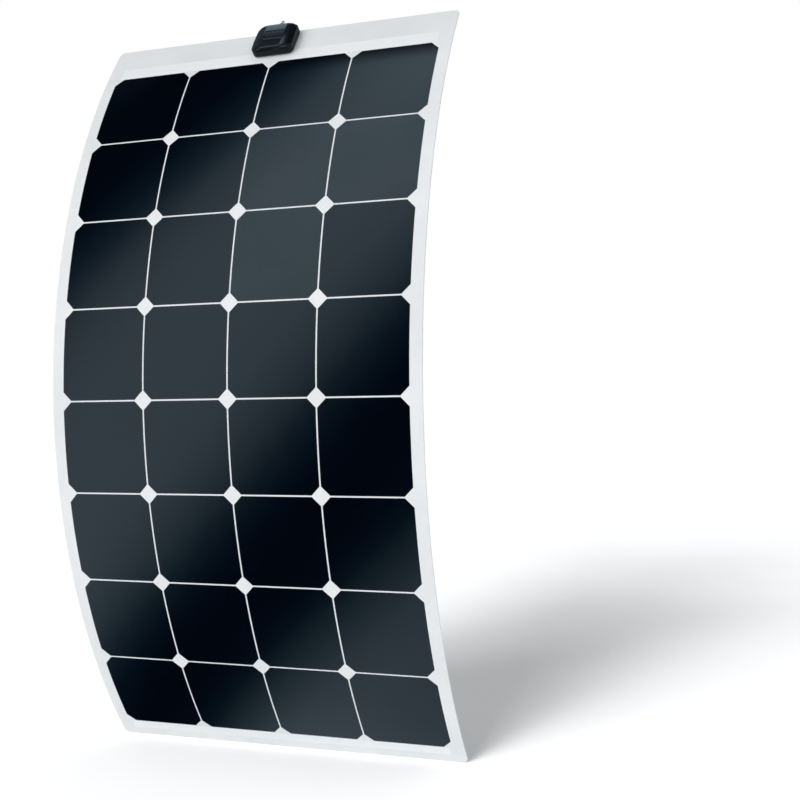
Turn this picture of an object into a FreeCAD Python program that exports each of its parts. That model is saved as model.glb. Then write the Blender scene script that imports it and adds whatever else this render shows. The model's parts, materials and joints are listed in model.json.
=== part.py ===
# Flexible solar sheet: a thin laminate of back-contact cells, bent to a gentle arch about its
# short axis, with a low junction box bonded to its front face at the middle of the top edge.
#
# Frame: +Z up along the chord of the bend, X across the width, the cells face -Y and the sheet
# bulges towards -Y. The origin is under the middle of the object, at the foot of the bottom edge.
# Each laminate layer is a strip revolved about the bend axis, which is the X axis of its body.
import FreeCAD, Part
import Sketcher
import math
import os
from FreeCAD import Vector, Rotation, Placement

doc = FreeCAD.newDocument("FlexibleSolarSheet")
dims = doc.addObject("Spreadsheet::Sheet", "Dims")

TABLE = [
    # name, value, meaning (lengths in millimetres, angles in degrees)
    ("bend_radius", 840.0, "radius of the middle surface of the laminate"),
    ("sheet_width", 540.0, "flat width of the sheet"),
    ("sheet_length", 1110.0, "flat length of the sheet, along the bend"),
    ("corner_round", 8.0, "corner radius of the sheet"),
    ("cell_side", 125.0, "pseudo-square cell, flat to flat"),
    ("cell_gap", 2.0, "gap between cells"),
    ("cell_cut", 11.9, "leg of the cut corner of a cell"),
    ("cell_rows", 8.0, "cells along the length"),
    ("cell_columns", 4.0, "cells across the width"),
    ("bottom_margin", 30.0, "white border under the cells"),
    ("front_level", 1.25, "front face, out from the middle surface"),
    ("film_back", 1.00, "back of the clear front film"),
    ("cell_front", 0.60, "front of the cell layer"),
    ("cell_back", 0.40, "back of the cell layer"),
    ("ribbon_front", 0.38, "front of the ribbons and interconnects"),
    ("ribbon_back", 0.24, "back of the ribbons and interconnects"),
    ("core_front", -0.05, "front of the white glass-fibre core"),
    ("core_back", -1.05, "back of the white glass-fibre core"),
    ("back_level", -1.25, "back face of the sheet"),
    ("pocket_play", 0.02, "play round what is laid into the encapsulant"),
    ("interconnect_width", 112.0, "cell interconnect, across the string"),
    ("interconnect_reach", 3.6, "half length of an interconnect along the string"),
    ("mask_front", 0.58, "front of the white strips that hide the ribbons"),
    ("mask_back", 0.42, "back of the white strips that hide the ribbons"),
    ("ribbon_strip", 5.0, "width of a bus ribbon"),
    ("lane_near", 493.6, "centre line of the ribbon next to the top cells"),
    ("lane_far", 500.2, "centre line of the two outer ribbons"),
    ("lane_bottom", -536.0, "centre line of the two bottom ribbons"),
    ("riser_line", 507.0, "where the ribbons rise into the junction box"),
    ("riser_half", 0.1, "half thickness of a riser"),
    ("rail_pitch", 18.0, "spacing of the terminal rails"),
    ("box_width", 63.0, "junction box across the sheet"),
    ("box_tall", 54.0, "junction box along the sheet"),
    ("box_round", 9.0, "corner radius of the junction box"),
    ("box_line", 528.0, "middle of the junction box along the sheet"),
    ("pad_thick", 1.2, "adhesive pad at its middle"),
    ("base_tall", 9.5, "height of the box base"),
    ("base_floor", 1.8, "floor of the box base"),
    ("base_wall", 2.2, "wall of the box base"),
    ("seam_gap", 0.3, "gap between the base and the lid"),
    ("lid_top", 16.0, "top of the lid over the base's underside"),
    ("lid_edge", 10.6, "height where the sloping flanks start"),
    ("lid_flat", 18.5, "half width of the lid's flat face"),
    ("seal_step", 0.9, "section of the lid seal"),
    ("rail_low", 3.0, "underside of the terminal rails"),
    ("rail_high", 3.8, "upper side of the terminal rails"),
    ("rail_half", 3.0, "half width of a terminal rail"),
    ("outlet_height", 4.9, "axis of the outlet over the base's underside"),
    ("collar_root", 4.6, "outlet collar radius at the box"),
    ("collar_tip", 3.4, "outlet collar radius at its end"),
    ("collar_long", 9.0, "outlet collar length"),
    ("stub_radius", 2.4, "outlet stub radius inside the collar"),
    ("stub_tip", 2.2, "outlet stub radius outside the collar"),
    ("stub_out", 17.0, "outlet stub, from the box wall to its end"),
]
VALUES = {}
for row, (name, value, meaning) in enumerate(TABLE, 1):
    dims.set("A%d" % row, name)
    dims.set("B%d" % row, repr(value))
    dims.set("C%d" % row, meaning)
    dims.setAlias("B%d" % row, name)
    VALUES[name] = value
doc.recompute()


class Q:
    """A size with its value and the text of its expression, so features stay bound to the sheet."""

    def __init__(self, value, text):
        self.value, self.text = float(value), text

    def __add__(self, other):
        other = q(other)
        return Q(self.value + other.value, "(%s + %s)" % (self.text, other.text))

    def __radd__(self, other):
        return q(other) + self

    def __sub__(self, other):
        other = q(other)
        return Q(self.value - other.value, "(%s - %s)" % (self.text, other.text))

    def __rsub__(self, other):
        return q(other) - self

    def __mul__(self, other):
        other = q(other)
        return Q(self.value * other.value, "(%s * %s)" % (self.text, other.text))

    def __rmul__(self, other):
        return q(other) * self

    def __truediv__(self, other):
        other = q(other)
        return Q(self.value / other.value, "(%s / %s)" % (self.text, other.text))

    def __neg__(self):
        return Q(-self.value, "(0 - %s)" % self.text)


def q(v):
    return v if isinstance(v, Q) else Q(v, "%.6f" % float(v))


def D(name):
    return Q(float(dims.get(name)), "Dims.%s" % name)


R = D("bend_radius")
DEG = 180.0 / math.pi
half_turn = (D("sheet_length") / R).value / 2.0
front_r = (R + D("front_level")).value
back_r = (R + D("back_level")).value
base_r = (R + D("front_level") + D("pad_thick")).value
box_angle = (D("box_line") / R).value
# bend axis: the lowest corner is at z = 0, and y = 0 is halfway between the front of the bulge
# and the rearmost point, which is the lower side of the outlet stub's end
stub_end = (D("box_tall") / 2 + D("stub_out")).value
stub_low = (D("outlet_height") - D("stub_tip")).value
nose = 0.5
rear_reach = max(
    (stub_end - nose) * math.sin(box_angle) - stub_low * math.cos(box_angle),
    stub_end * math.sin(box_angle) - (stub_low + nose) * math.cos(box_angle),
)
AXIS_Y = (front_r + base_r * math.cos(box_angle) - rear_reach) / 2.0
AXIS_Z = front_r * math.sin(half_turn)
bend_frame = Placement(Vector(0, AXIS_Y, AXIS_Z), Rotation())


def plane(body, role):
    for feature in body.Origin.OriginFeatures:
        if feature.Role == role:
            return feature
    raise RuntimeError("no %s in %s" % (role, body.Label))


def new_body(label, placement=bend_frame):
    body = doc.addObject("PartDesign::Body", label)
    body.Label = label
    body.Placement = placement
    return body


def bind(sketch, index, size):
    sketch.setExpression("Constraints[%d]" % index, size.text)


def new_sketch(body, role, name, offset=None):
    sk = body.newObject("Sketcher::SketchObject", name)
    sk.AttachmentSupport = [(plane(body, role), "")]
    sk.MapMode = "FlatFace"
    if offset is not None:
        sk.AttachmentOffset = offset
    return sk


def rectangle(sk, x0, x1, y0, y1):
    """A rectangle held by the signed distances of two opposite corners from the origin."""
    x0, x1, y0, y1 = q(x0), q(x1), q(y0), q(y1)
    pts = [(x0, y0), (x1, y0), (x1, y1), (x0, y1)]
    first = sk.GeometryCount
    for i in range(4):
        a, b = pts[i], pts[(i + 1) % 4]
        sk.addGeometry(Part.LineSegment(Vector(a[0].value, a[1].value, 0), Vector(b[0].value, b[1].value, 0)), False)
    for i in range(4):
        sk.addConstraint(Sketcher.Constraint("Coincident", first + i, 2, first + (i + 1) % 4, 1))
    sk.addConstraint(Sketcher.Constraint("Horizontal", first))
    sk.addConstraint(Sketcher.Constraint("Horizontal", first + 2))
    sk.addConstraint(Sketcher.Constraint("Vertical", first + 1))
    sk.addConstraint(Sketcher.Constraint("Vertical", first + 3))
    for kind, geo, size in (
        ("DistanceX", first, x0),
        ("DistanceY", first, y0),
        ("DistanceX", first + 2, x1),
        ("DistanceY", first + 2, y1),
    ):
        bind(sk, sk.addConstraint(Sketcher.Constraint(kind, -1, 1, geo, 1, size.value)), size)


def rounded(sk, hx, hy, r, cx=0.0, cy=0.0):
    """A rounded rectangle of half sizes hx, hy about (cx, cy)."""
    hx, hy, r, cx, cy = q(hx), q(hy), q(r), q(cx), q(cy)
    X0, X1, Y0, Y1, rr = (cx - hx).value, (cx + hx).value, (cy - hy).value, (cy + hy).value, r.value
    f = sk.GeometryCount
    seg = lambda a, b: Part.LineSegment(Vector(a[0], a[1], 0), Vector(b[0], b[1], 0))
    arc = lambda c, a0: Part.ArcOfCircle(
        Part.Circle(Vector(c[0], c[1], 0), Vector(0, 0, 1), rr), a0, a0 + math.pi / 2
    )
    sk.addGeometry(seg((X0 + rr, Y0), (X1 - rr, Y0)), False)
    sk.addGeometry(arc((X1 - rr, Y0 + rr), -math.pi / 2), False)
    sk.addGeometry(seg((X1, Y0 + rr), (X1, Y1 - rr)), False)
    sk.addGeometry(arc((X1 - rr, Y1 - rr), 0), False)
    sk.addGeometry(seg((X1 - rr, Y1), (X0 + rr, Y1)), False)
    sk.addGeometry(arc((X0 + rr, Y1 - rr), math.pi / 2), False)
    sk.addGeometry(seg((X0, Y1 - rr), (X0, Y0 + rr)), False)
    sk.addGeometry(arc((X0 + rr, Y0 + rr), math.pi), False)
    for i in range(8):
        sk.addConstraint(Sketcher.Constraint("Tangent", f + i, 2, f + (i + 1) % 8, 1))
    for i in (3, 5, 7):
        sk.addConstraint(Sketcher.Constraint("Equal", f + 1, f + i))
    bind(sk, sk.addConstraint(Sketcher.Constraint("Radius", f + 1, rr)), r)
    bind(sk, sk.addConstraint(Sketcher.Constraint("DistanceY", -1, 1, f, 1, Y0)), cy - hy)
    bind(sk, sk.addConstraint(Sketcher.Constraint("DistanceX", -1, 1, f + 2, 1, X1)), cx + hx)
    bind(sk, sk.addConstraint(Sketcher.Constraint("DistanceY", -1, 1, f + 4, 1, Y1)), cy + hy)
    bind(sk, sk.addConstraint(Sketcher.Constraint("DistanceX", -1, 1, f + 6, 1, X0)), cx - hx)
    sk.addConstraint(Sketcher.Constraint("Horizontal", f))


def polygon(sk, points):
    """A closed outline of straight sides, each corner held by its distances from the origin."""
    points = [(q(a), q(b)) for a, b in points]
    f, n = sk.GeometryCount, len(points)
    for i in range(n):
        a, b = points[i], points[(i + 1) % n]
        sk.addGeometry(Part.LineSegment(Vector(a[0].value, a[1].value, 0), Vector(b[0].value, b[1].value, 0)), False)
    for i in range(n):
        sk.addConstraint(Sketcher.Constraint("Coincident", f + i, 2, f + (i + 1) % n, 1))
        bind(sk, sk.addConstraint(Sketcher.Constraint("DistanceX", -1, 1, f + i, 1, points[i][0].value)), points[i][0])
        bind(sk, sk.addConstraint(Sketcher.Constraint("DistanceY", -1, 1, f + i, 1, points[i][1].value)), points[i][1])


def circle(sk, cx, cy, r):
    cx, cy, r = q(cx), q(cy), q(r)
    g = sk.addGeometry(Part.Circle(Vector(cx.value, cy.value, 0), Vector(0, 0, 1), r.value), False)
    bind(sk, sk.addConstraint(Sketcher.Constraint("Radius", g, r.value)), r)
    bind(sk, sk.addConstraint(Sketcher.Constraint("DistanceX", -1, 1, g, 3, cx.value)), cx)
    bind(sk, sk.addConstraint(Sketcher.Constraint("DistanceY", -1, 1, g, 3, cy.value)), cy)


def bent(body, name, x0, x1, w0, w1, s0, s1, cut=False):
    """A strip x0..x1 by s0..s1 (arc length on the middle surface) between the levels w0 and w1,
    made as a rectangle turned about the bend axis. The sketch's plane holds that axis."""
    x0, x1, w0, w1, s0, s1 = (q(v) for v in (x0, x1, w0, w1, s0, s1))
    middle = (s0 + s1) / 2 / R * DEG
    sk = new_sketch(body, "XY_Plane", name + "_profile", Placement(Vector(), Rotation(Vector(1, 0, 0), -middle.value)))
    rectangle(sk, x0, x1, -(R + w1), -(R + w0))
    kind = "PartDesign::Groove" if cut else "PartDesign::Revolution"
    turn = body.newObject(kind, name)
    turn.Profile = sk
    turn.ReferenceAxis = (plane(body, "X_Axis"), [""])
    turn.Midplane = True
    turn.setExpression("Angle", ((s1 - s0) / R * DEG).text)
    body.Tip = turn
    doc.recompute()
    return turn


def pad(body, sk, name, height, cut=False, mid=False, back=False):
    feature = body.newObject("PartDesign::Pocket" if cut else "PartDesign::Pad", name)
    feature.Profile = sk
    if height is None:
        feature.Type = "ThroughAll"
    else:
        feature.setExpression("Length", q(height).text)
        feature.Length = q(height).value
    feature.Midplane = mid
    feature.Reversed = back
    body.Tip = feature
    doc.recompute()
    return feature


def dress(body, kind, name, base, pick, size):
    """A fillet or chamfer on the edges of base that pick accepts."""
    edges = ["Edge%d" % (i + 1) for i, e in enumerate(base.Shape.Edges) if pick(e)]
    if not edges:
        raise RuntimeError("no edges for %s in %s" % (name, body.Label))
    feature = body.newObject("PartDesign::" + kind, name)
    feature.Base = (base, edges)
    prop = "Radius" if kind == "Fillet" else "Size"
    setattr(feature, prop, q(size).value)
    feature.setExpression(prop, q(size).text)
    body.Tip = feature
    doc.recompute()
    return feature


def level(z):
    return Placement(Vector(0, 0, z), Rotation())


PARTS = {}


def keep(obj):
    PARTS[obj.Label] = obj
    return obj


# ---------------------------------------------------------------- sheet coordinates
half_w = D("sheet_width") / 2
half_l = D("sheet_length") / 2
pitch = D("cell_side") + D("cell_gap")
cells_low = D("bottom_margin") - half_l
cells_high = cells_low + pitch * D("cell_rows") - D("cell_gap")
ROWS, COLUMNS = int(D("cell_rows").value), int(D("cell_columns").value)


def column_x(c):
    """Middle of column c, counted from 0 at the left."""
    return pitch * (c - (COLUMNS - 1) / 2.0)


def row_s(r):
    """Middle of row r along the sheet, counted from 0 at the top."""
    return cells_high - D("cell_side") / 2 - pitch * r


def radial_corner(e, spans):
    """Short edges that run through the thickness of a strip at its corners."""
    if len(e.Vertexes) != 2:
        return False
    a, b = e.Vertexes[0].Point, e.Vertexes[1].Point
    return abs(a.x - b.x) < 1e-6 and e.Length < spans


# ---------------------------------------------------------------- cells
def cell_blank(label, play):
    body = new_body(label)
    side, thick_front, thick_back = D("cell_side") + 2 * play, D("cell_front") + play, D("cell_back") - play
    strip = bent(body, "wafer", -side / 2, side / 2, thick_back, thick_front, -side / 2, side / 2)
    limit = (thick_front - thick_back).value + 0.01
    dress(body, "Chamfer", "cut_corners", strip, lambda e: radial_corner(e, limit), D("cell_cut") + 0.5858 * play)
    return body


for r in range(ROWS):
    for c in range(COLUMNS):
        body = cell_blank("cell_r%d_c%d" % (r + 1, c + 1), q(0.0))
        turn = (row_s(r) / R * DEG).value
        body.Placement = Placement(
            Vector(column_x(c).value, AXIS_Y, AXIS_Z), Rotation(Vector(1, 0, 0), -turn)
        )
        keep(body)


# ---------------------------------------------------------------- cell interconnects, one group per string
def interconnect_blank(label, play):
    """A flat dog-bone strip behind the gap of two cells: a long bar with three wider pads."""
    body = new_body(label)
    half = D("interconnect_width") / 2 + play
    reach, front, back = D("interconnect_reach") + play, D("ribbon_front") + play, D("ribbon_back") - play
    bent(body, "bar", -half, half, back, front, -reach * 0.55, reach * 0.55)
    for i, x in enumerate((-0.8, 0.0, 0.8)):
        middle = D("interconnect_width") / 2 * x
        bent(body, "pads%d" % i, middle - 7.0 - play, middle + 7.0 + play, back, front, -reach, reach)
    return body


def copies(shape, places):
    out = []
    for x, angle in places:
        s = shape.copy()
        s.Placement = Placement(Vector(x, AXIS_Y, AXIS_Z), Rotation(Vector(1, 0, 0), -angle))
        out.append(s)
    return out


link_blank = interconnect_blank("interconnect_blank", q(0.0))
link_tool = interconnect_blank("interconnect_pocket", D("pocket_play"))
joint_s = [(row_s(r) - pitch / 2) for r in range(ROWS - 1)]
link_places = []
for c in range(COLUMNS):
    places = [(column_x(c).value, (sj / R * DEG).value) for sj in joint_s]
    link_places += places
    group = doc.addObject("Part::Feature", "string_%d_interconnects" % (c + 1))
    group.Label = "string_%d_interconnects" % (c + 1)
    group.Shape = Part.makeCompound(copies(link_blank.Shape, places))
    keep(group)


# ---------------------------------------------------------------- bus ribbons
def ribbon(label, play, lane, x0, x1, tabs, towards, riser=None):
    """A bus ribbon along lane from x0 to x1, with tabs that reach behind the cells at each x in
    tabs, and, with riser, a feeder that runs on and rises through the front into the box."""
    body = new_body(label)
    front, back = D("ribbon_front") + play, D("ribbon_back") - play
    half = D("ribbon_strip") / 2 + play
    bent(body, "run", x0 - play, x1 + play, back, front, lane - half, lane + half)
    for i, x in enumerate(tabs):
        if towards > 0:
            bent(body, "tab%d" % i, x - 4.0 - play, x + 4.0 + play, back, front, lane, cells_low + 6.0 + play)
        else:
            bent(body, "tab%d" % i, x - 4.0 - play, x + 4.0 + play, back, front, cells_high - 6.0 - play, lane)
    if riser is not None:
        line, thin = D("riser_line"), D("riser_half") + play
        bent(body, "feeder", riser - 2.5 - play, riser + 2.5 + play, back, front, lane, line + thin)
        top = D("front_level") + D("pad_thick") + D("rail_high") + 0.45
        bent(body, "riser", riser - 2.5 - play, riser + 2.5 + play, back, top, line - thin, line + thin)
        bent(body, "fold", riser - 2.5 - play, riser + 2.5 + play, top - 0.14, top, line - thin, line + 7.0)
    return body


def tab_xs(c):
    return [column_x(c) + k for k in (-45.0, 0.0, 45.0)]


near, far, low = D("lane_near"), D("lane_far"), D("lane_bottom")
rails = D("rail_pitch")
RIBBONS = {
    "bus_ribbon_positive": (far, column_x(0) - 49.0, -rails + 2.5, tab_xs(0), -1, -rails),
    "bus_ribbon_centre": (near, column_x(1) - 49.0, column_x(2) + 49.0, tab_xs(1) + tab_xs(2), -1, q(0.0)),
    "bus_ribbon_negative": (far, rails - 2.5, column_x(3) + 49.0, tab_xs(3), -1, rails),
    "bus_ribbon_bottom_left": (low, column_x(0) - 49.0, column_x(1) + 49.0, tab_xs(0) + tab_xs(1), 1, None),
    "bus_ribbon_bottom_right": (low, column_x(2) - 49.0, column_x(3) + 49.0, tab_xs(2) + tab_xs(3), 1, None),
}
ribbon_tools = []
for label, args in RIBBONS.items():
    keep(ribbon(label, q(0.0), *args))
    ribbon_tools.append(ribbon(label + "_pocket", D("pocket_play"), *args))


# ---------------------------------------------------------------- white strips over the ribbons
def mask(label, s0, s1, play):
    body = new_body(label)
    strip = bent(
        body, "strip", column_x(0) - 58.0 - play, column_x(3) + 58.0 + play,
        D("mask_back") - play, D("mask_front") + play, s0 - play, s1 + play,
    )
    if s0.value > 0:
        bent(body, "riser_slot", -rails - 3.4 + play, rails + 3.4 - play, q(-0.5), q(1.0),
             D("riser_line") - 1.2 + play, D("riser_line") + 1.2 - play, cut=True)
    return body


keep(mask("top_ribbon_mask", cells_high + 1.2, D("riser_line") + 4.0, q(0.0)))
keep(mask("bottom_ribbon_mask", low - 4.5, cells_low - 1.2, q(0.0)))
mask_tools = [
    mask("top_ribbon_mask_pocket", cells_high + 1.2, D("riser_line") + 4.0, D("pocket_play")),
    mask("bottom_ribbon_mask_pocket", low - 4.5, cells_low - 1.2, D("pocket_play")),
]


# ---------------------------------------------------------------- laminate layers
def layer(label, back, front):
    body = new_body(label)
    strip = bent(body, "web", -half_w, half_w, back, front, -half_l, half_l)
    limit = (front - back).value + 0.01
    dress(body, "Fillet", "corners", strip, lambda e: radial_corner(e, limit), D("corner_round"))
    return body


def slotted(body, back, front):
    bent(body, "riser_slot", -rails - 3.4, rails + 3.4, back - 0.5, front + 0.5,
         D("riser_line") - 1.2, D("riser_line") + 1.2, cut=True)
    return body


keep(slotted(layer("front_film", D("film_back"), D("front_level")), D("film_back"), D("front_level")))
keep(slotted(layer("front_encapsulant", D("cell_front"), D("film_back")), D("cell_front"), D("film_back")))
keep(layer("glass_fibre_core", D("core_back"), D("core_front")))
keep(layer("back_film", D("back_level"), D("core_back")))

# the rear encapsulant holds the cells, ribbons and interconnects in pockets of their own shape
web = layer("rear_encapsulant_web", D("core_front"), D("cell_front"))
cell_tool = cell_blank("cell_pocket", D("pocket_play"))
cell_places = [(column_x(c).value, (row_s(r) / R * DEG).value) for r in range(ROWS) for c in range(COLUMNS)]
pockets = doc.addObject("Part::Feature", "laminate_pockets")
pockets.Label = "laminate_pockets"
tools = copies(cell_tool.Shape, cell_places) + copies(link_tool.Shape, link_places)
tools += [b.Shape.copy() for b in ribbon_tools + mask_tools]
pockets.Shape = Part.makeCompound(tools)
rear = doc.addObject("Part::Feature", "rear_encapsulant")
rear.Label = "rear_encapsulant"
rear.Shape = web.Shape.cut(tools)
keep(rear)


# ---------------------------------------------------------------- junction box
box_frame = Placement(
    Vector(0, AXIS_Y - base_r * math.cos(box_angle), AXIS_Z + base_r * math.sin(box_angle)),
    Rotation(Vector(1, 0, 0), 90.0 - math.degrees(box_angle)),
)
bw, bt, br = D("box_width") / 2, D("box_tall") / 2, D("box_round")
riser_y = (D("riser_line") - D("box_line")) * 1.0

# adhesive pad: flat on the box, curved on the sheet
block = doc.addObject("Part::Box", "pad_block")
block.setExpression("Length", (bw * 2 - 9.0).text)
block.setExpression("Width", (bt * 2 - 6.0).text)
block.setExpression("Height", (D("pad_thick") + 0.8).text)
block.Placement = box_frame * Placement(
    Vector(-(bw.value - 4.5), -(bt.value - 3.0), -(D("pad_thick").value + 0.8)), Rotation()
)
drum = doc.addObject("Part::Cylinder", "sheet_drum")
drum.setExpression("Radius", (R + D("front_level")).text)
drum.Height = 120.0
drum.Placement = Placement(Vector(-60, AXIS_Y, AXIS_Z), Rotation(Vector(0, 1, 0), 90))
slot = doc.addObject("Part::Box", "pad_slot")
slot.setExpression("Length", ((rails + 3.6) * 2).text)
slot.setExpression("Width", "3.2")
slot.setExpression("Height", "6")
slot.Placement = box_frame * Placement(Vector(-(rails.value + 3.6), riser_y.value - 1.6, -4.0), Rotation())
shaped = doc.addObject("Part::Cut", "pad_shaped")
shaped.Base, shaped.Tool = block, drum
padcut = doc.addObject("Part::Cut", "jbox_pad")
padcut.Label = "jbox_pad"
padcut.Base, padcut.Tool = shaped, slot
doc.recompute()
keep(padcut)

# base tray
base = new_body("jbox_base", box_frame)
sk = new_sketch(base, "XY_Plane", "outline")
rounded(sk, bw, bt, br)
f = pad(base, sk, "tray", D("base_tall"))
f = dress(base, "Chamfer", "foot", f, lambda e: abs(e.BoundBox.ZMax) < 1e-6, q(0.5))
sk = new_sketch(base, "XY_Plane", "inside", level(D("base_floor").value))
rounded(sk, bw - D("base_wall"), bt - D("base_wall"), br - D("base_wall"))
f = pad(base, sk, "well", D("base_tall"), cut=True, back=True)
sk = new_sketch(base, "XY_Plane", "seal_seat", level((D("base_tall") - D("seal_step")).value))
seat = bw - D("base_wall") + D("seal_step")
rounded(sk, seat, bt - D("base_wall") + D("seal_step"), br - D("base_wall") + D("seal_step"))
f = pad(base, sk, "seal_rebate", D("base_tall"), cut=True, back=True)
for i, x in enumerate((-rails, q(0.0), rails)):
    sk = new_sketch(base, "XY_Plane", "seat%d_outline" % i, level((D("base_floor") - 0.5).value))
    rectangle(sk, x - 1.8, x + 1.8, q(-12.0), q(12.5))
    pad(base, sk, "seat%d" % i, D("rail_low") - D("base_floor") + 0.5)
for i, x in enumerate((-rails, q(0.0), rails)):
    sk = new_sketch(base, "XY_Plane", "slot%d_outline" % i, level(-1.0))
    rectangle(sk, x - 3.3, x + 3.3, riser_y - 1.3, riser_y + 1.3)
    pad(base, sk, "slot%d" % i, D("base_floor") + 3.0, cut=True, back=True)
sk = new_sketch(base, "XZ_Plane", "outlet_outline")
circle(sk, q(0.0), D("outlet_height"), D("stub_radius") + 0.02)
f = pad(base, sk, "outlet", D("box_tall"), cut=True, back=False)
keep(base)

# seal
seal = new_body("lid_seal", box_frame)
sk = new_sketch(seal, "XY_Plane", "seal_outline", level((D("base_tall") - D("seal_step")).value))
rounded(sk, seat - 0.03, bt - D("base_wall") + D("seal_step") - 0.03, br - D("base_wall") + D("seal_step") - 0.03)
rounded(sk, bw - D("base_wall"), bt - D("base_wall"), br - D("base_wall"))
pad(seal, sk, "ring", D("seal_step"))
keep(seal)

# lid: flat face, sloping flanks left and right, soft edges, a shallow panel in its face
lid = new_body("jbox_lid", box_frame)
lid_low = D("base_tall") + D("seam_gap")
sk = new_sketch(lid, "XY_Plane", "lid_outline", level(lid_low.value))
rounded(sk, bw, bt, br)
f = pad(lid, sk, "cover", D("lid_top") - lid_low)
for side, tag in ((1, "right"), (-1, "left")):
    sk = new_sketch(lid, "XZ_Plane", "flank_%s_outline" % tag)
    outer, flat = (bw + 1.0) * side, D("lid_flat") * side
    rise = (D("lid_top") - D("lid_edge")) / (bw - D("lid_flat"))
    polygon(sk, [
        (outer, D("lid_edge") - rise * 1.0),
        (flat, D("lid_top")),
        (flat, D("lid_top") + 3.0),
        (outer, D("lid_top") + 3.0),
    ])
    f = pad(lid, sk, "flank_" + tag, D("box_tall") * 2, cut=True, mid=True)
f = dress(
    lid, "Fillet", "soft_edges", f,
    lambda e: e.BoundBox.ZMin > lid_low.value + 0.05 and e.BoundBox.ZMax - e.BoundBox.ZMin > -1
    and not (abs(e.BoundBox.XMax - e.BoundBox.XMin) < 1e-6 and abs(e.BoundBox.YMax - e.BoundBox.YMin) < 1e-6
             and e.BoundBox.ZMax - e.BoundBox.ZMin < 2),
    q(2.2),
)
sk = new_sketch(lid, "XY_Plane", "cavity_low_outline", level(lid_low.value - 1.0))
rounded(sk, q(28.6), q(24.1), q(6.4))
f = pad(lid, sk, "cavity_low", q(1.0) + q(10.5) - lid_low, cut=True, back=True)
sk = new_sketch(lid, "XY_Plane", "cavity_high_outline", level(lid_low.value - 1.0))
rounded(sk, q(18.0), q(23.0), q(4.0))
f = pad(lid, sk, "cavity_high", D("lid_top") - 1.8 - lid_low + 1.0, cut=True, back=True)
for i, (sx, sy) in enumerate(((1, 1), (1, -1), (-1, 1), (-1, -1))):
    sk = new_sketch(lid, "XY_Plane", "lug%d_outline" % i, level(6.4))
    xs = sorted((27.4 * sx, 28.9 * sx))
    ys = sorted((9.0 * sy, 15.0 * sy))
    rectangle(sk, q(xs[0]), q(xs[1]), q(ys[0]), q(ys[1]))
    pad(lid, sk, "lug%d" % i, q(4.4))
sk = new_sketch(lid, "XY_Plane", "panel_outline", level((D("lid_top") - 0.45).value))
rounded(sk, q(14.5), q(9.5), q(1.2), q(0.0), q(0.5))
f = pad(lid, sk, "panel", q(2.0), cut=True, back=True)
keep(lid)

# terminal rails with a screw hole and a turned-up stop
for label, x in (("rail_positive", -rails), ("rail_centre", q(0.0)), ("rail_negative", rails)):
    body = new_body(label, box_frame)
    sk = new_sketch(body, "XY_Plane", "rail_outline", level(D("rail_low").value))
    rectangle(sk, x - D("rail_half"), x + D("rail_half"), q(-19.0), q(15.0))
    pad(body, sk, "rail", D("rail_high") - D("rail_low"))
    sk = new_sketch(body, "XY_Plane", "stop_outline", level(D("rail_low").value))
    rectangle(sk, x - D("rail_half"), x + D("rail_half"), q(14.2), q(15.0))
    pad(body, sk, "stop", q(4.2))
    sk = new_sketch(body, "XY_Plane", "hole_outline", level(0.0))
    circle(sk, x, q(9.6), q(1.6))
    pad(body, sk, "hole", q(10.0), cut=True, back=True)
    keep(body)

# spring clips that hold the ribbons on the rails
clips = []
for i, x in enumerate((-rails, q(0.0), rails)):
    outer = doc.addObject("Part::Box", "clip%d_outer" % i)
    outer.Length, outer.Width, outer.Height = 8.0, 3.4, 3.0
    outer.Placement = Placement(Vector(x.value - 4.0, -18.4, 2.3), Rotation())
    inner = doc.addObject("Part::Box", "clip%d_inner" % i)
    inner.Length, inner.Width, inner.Height = 6.8, 5.4, 2.6
    inner.Placement = Placement(Vector(x.value - 3.4, -19.4, 2.0), Rotation())
    cut = doc.addObject("Part::Cut", "clip%d" % i)
    cut.Base, cut.Tool = outer, inner
    clips.append(cut)
doc.recompute()
group = doc.addObject("Part::Compound", "ribbon_clips")
group.Label = "ribbon_clips"
group.Links = clips
group.Placement = box_frame
doc.recompute()
keep(group)

# bypass diodes: a moulded body on two wire leads, one between each pair of rails
for label, x in (("bypass_diode_left", -rails / 2), ("bypass_diode_right", rails / 2)):
    body = new_body(label, box_frame)
    sk = new_sketch(body, "XY_Plane", "diode_profile", level((D("rail_high") + 0.52).value))
    half = rails / 2 - 1.0
    polygon(sk, [
        (x - half, q(4.0)), (x + half, q(4.0)), (x + half, q(4.5)), (x + 4.0, q(4.5)),
        (x + 4.0, q(6.3)), (x - 4.0, q(6.3)), (x - 4.0, q(4.5)), (x - half, q(4.5)),
    ])
    turn = body.newObject("PartDesign::Revolution", "moulding")
    turn.Profile = sk
    turn.ReferenceAxis = (sk, ["Edge1"])
    turn.Angle = 360.0
    body.Tip = turn
    doc.recompute()
    keep(body)

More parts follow.
